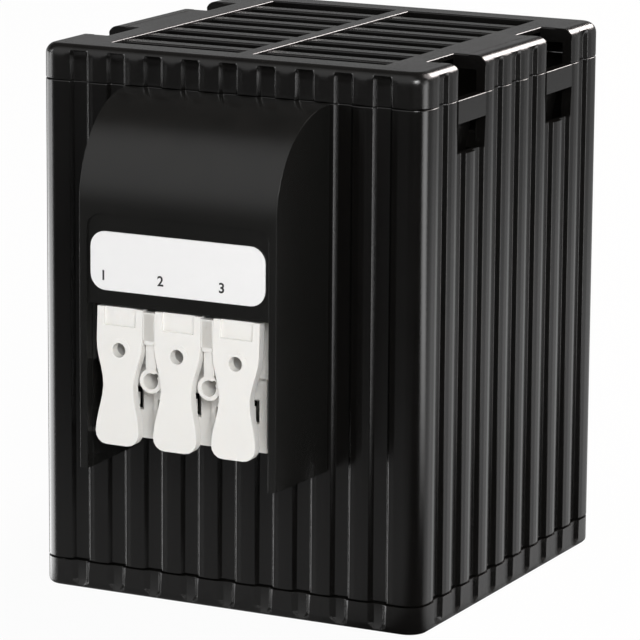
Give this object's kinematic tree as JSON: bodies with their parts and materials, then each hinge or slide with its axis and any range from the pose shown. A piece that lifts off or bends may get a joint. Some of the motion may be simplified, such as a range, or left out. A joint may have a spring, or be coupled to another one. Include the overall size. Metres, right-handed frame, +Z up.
{
  "type": "enclosure heater",
  "caption": "Compact box-shaped fan heater for a control cabinet, with a ribbed case, slotted air grilles, a hooded spring terminal block and a rail clip on the back.",
  "frame": {"origin": "middle of the bottom face, on the plane that it stands on", "axes": "+Z up along the air flow, -Y out of the terminal side, +Y to the mounting rail, +X to the right seen from the terminal side"},
  "size_m": [0.085, 0.1144, 0.111],
  "materials": {
    "black_case": "satin fine grain",
    "black_hood": "semi-gloss",
    "white_terminal": "semi-gloss",
    "white_label": "smooth film",
    "fan_plastic": "satin",
    "holder_plastic": "matte",
    "aluminium": "extruded",
    "steel": "zinc plated",
    "ceramic": "unglazed ceramic",
    "copper": "enamelled copper winding",
    "lead_sleeve": "soft sleeve"
  },
  "bodies": {
    "case": {"bottom_grille": "black_case", "clamp_spring_1": "steel", "clamp_spring_2": "steel", "clamp_spring_3": "steel", "clip_screw_1": "steel", "clip_screw_2": "steel", "cutout_screw_1": "steel", "cutout_screw_2": "steel", "fan_frame": "fan_plastic", "fan_screw_1": "steel", "fan_screw_2": "steel", "fan_screw_3": "steel", "fan_screw_4": "steel", "fan_stator": "copper", "heater_clamp": "holder_plastic", "heater_cradle": "holder_plastic", "heating_element": "ceramic", "heatsink": "aluminium", "housing": "black_case", "lead_common": "lead_sleeve", "lead_fan": "lead_sleeve", "lead_heater": "lead_sleeve", "lead_link": "lead_sleeve", "rail_clip": "black_case", "rating_label": "white_label", "terminal_block": "white_terminal", "terminal_hood": "black_hood", "thermal_cutout": "ceramic", "top_grille": "black_case"},
    "lever_1": {"release_lever_1": "white_terminal"},
    "lever_2": {"release_lever_2": "white_terminal"},
    "lever_3": {"release_lever_3": "white_terminal"},
    "rotor": {"fan_rotor": "fan_plastic", "fan_shaft": "steel"}
  },
  "joints": [
    {"name": "lever_1_press", "type": "hinge", "parent": "case", "child": "lever_1", "pos_m": [-0.01278, -0.056, 0.0603], "axis": [1, 0, 0], "range_deg": [0, 7], "stiffness_Nm_per_rad": 0.12, "springref_deg": -1.72},
    {"name": "lever_2_press", "type": "hinge", "parent": "case", "child": "lever_2", "pos_m": [0, -0.056, 0.0603], "axis": [1, 0, 0], "range_deg": [0, 7], "stiffness_Nm_per_rad": 0.12, "springref_deg": -1.72},
    {"name": "lever_3_press", "type": "hinge", "parent": "case", "child": "lever_3", "pos_m": [0.01278, -0.056, 0.0603], "axis": [1, 0, 0], "range_deg": [0, 7], "stiffness_Nm_per_rad": 0.12, "springref_deg": -1.72},
    {"name": "fan_spin", "type": "hinge", "parent": "case", "child": "rotor", "pos_m": [0, 0, 0.0216], "axis": [0, 0, 1], "continuous": true}
  ]
}
